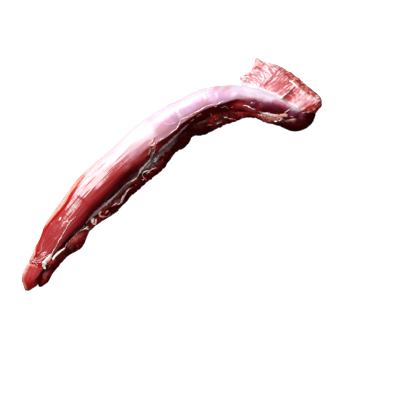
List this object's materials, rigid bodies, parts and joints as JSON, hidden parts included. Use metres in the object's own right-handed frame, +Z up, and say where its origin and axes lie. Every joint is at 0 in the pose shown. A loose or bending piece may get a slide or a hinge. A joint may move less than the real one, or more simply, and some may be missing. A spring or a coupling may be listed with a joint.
{
  "type": "raw venison fillet",
  "caption": "Raw venison fillet: a long, tapering, curved loin muscle with silverskin, a knobbly side strap along one flank and a fan-shaped head flap, lying on its flattened underside.",
  "frame": {"origin": "on the surface the fillet lies on, under the middle of its outline's box", "axes": "+X from the thin tail towards the thick head, along the chord of the curve; +Y towards the bowed side; +Z up from the flat underside"},
  "size_m": [0.3558, 0.0958, 0.032],
  "materials": {
    "lean_meat": "deep red raw muscle, moist satin surface with fine lengthwise fibres",
    "silverskin": "pearly, translucent connective tissue over red muscle, wet sheen",
    "fat_and_sinew": "cream fat and sinew threads, moist"
  },
  "bodies": {
    "root": {"fillet": "lean_meat"}
  },
  "joints": []
}
